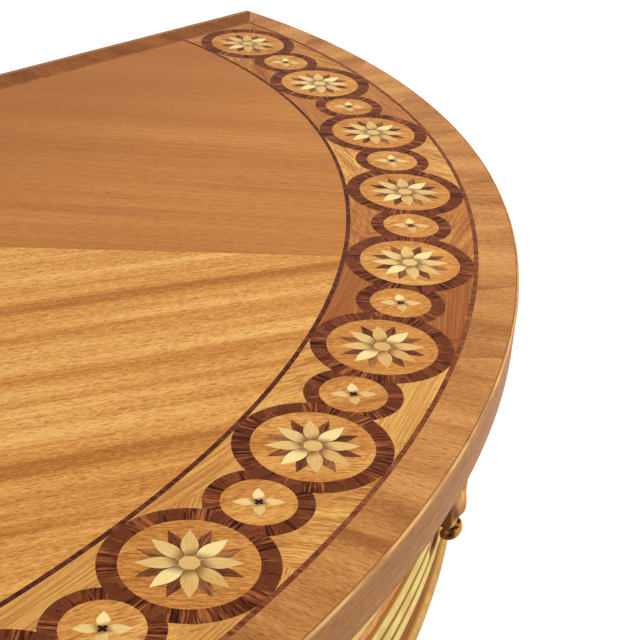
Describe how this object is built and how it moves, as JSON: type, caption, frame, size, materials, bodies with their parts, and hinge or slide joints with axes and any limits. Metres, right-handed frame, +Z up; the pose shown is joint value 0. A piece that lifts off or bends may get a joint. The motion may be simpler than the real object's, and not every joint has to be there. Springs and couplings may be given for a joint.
{
  "type": "demilune table",
  "caption": "Half-elliptical side table: marquetry top with a guilloche band of flower roundels, bowed reeded giltwood apron and turned fluted legs, made to stand against a wall.",
  "frame": {"origin": "on the floor, under the middle of the top's bounding box", "axes": "+X along the straight back edge to the right, +Y towards the wall, +Z up; the bow faces -Y"},
  "size_m": [1.34, 0.57, 0.86],
  "materials": {
    "satinwood": "polished satinwood veneer",
    "crossbanding": "polished crossbanding",
    "rosewood": "polished dark veneer",
    "boxwood": "polished sand-shaded pale veneer",
    "giltwood": "water-gilt over bole, rubbed",
    "frieze_gilt": "toned matt gilding",
    "carcase_wood": "planed softwood",
    "screw_steel": "plain steel"
  },
  "bodies": {
    "root": {"top_core": "carcase_wood", "edge_lipping": "crossbanding", "back_lipping": "crossbanding", "field_panel_right": "satinwood", "field_panel_centre_right": "satinwood", "field_panel_centre_left": "satinwood", "field_panel_left": "satinwood", "inner_stringing": "rosewood", "outer_stringing": "rosewood", "back_stringing": "rosewood", "rim_crossband": "crossbanding", "back_crossband": "crossbanding", "band_ground": "satinwood", "large_rings": "rosewood", "small_rings": "rosewood", "large_grounds": "satinwood", "small_grounds": "satinwood", "large_petals": "boxwood", "large_points": "rosewood", "large_buttons": "boxwood", "small_petals": "boxwood", "small_eyes": "rosewood", "apron_rail_left": "carcase_wood", "apron_rail_centre": "carcase_wood", "apron_rail_right": "carcase_wood", "back_rail": "carcase_wood", "bearer_left": "carcase_wood", "bearer_right": "carcase_wood", "frieze_facing": "frieze_gilt", "base_torus": "giltwood", "bead_left": "giltwood", "bead_centre": "giltwood", "bead_right": "giltwood", "reeds_left": "giltwood", "reeds_centre": "giltwood", "reeds_right": "giltwood", "leg_front_left": "giltwood", "leg_front_right": "giltwood", "leg_rear_left": "giltwood", "leg_rear_right": "giltwood", "leaf_front_left": "giltwood", "leaf_front_right": "giltwood", "leaf_rear_left": "giltwood", "leaf_rear_right": "giltwood", "glue_blocks": "carcase_wood", "top_screws": "screw_steel", "rail_tenons": "carcase_wood"}
  },
  "joints": []
}
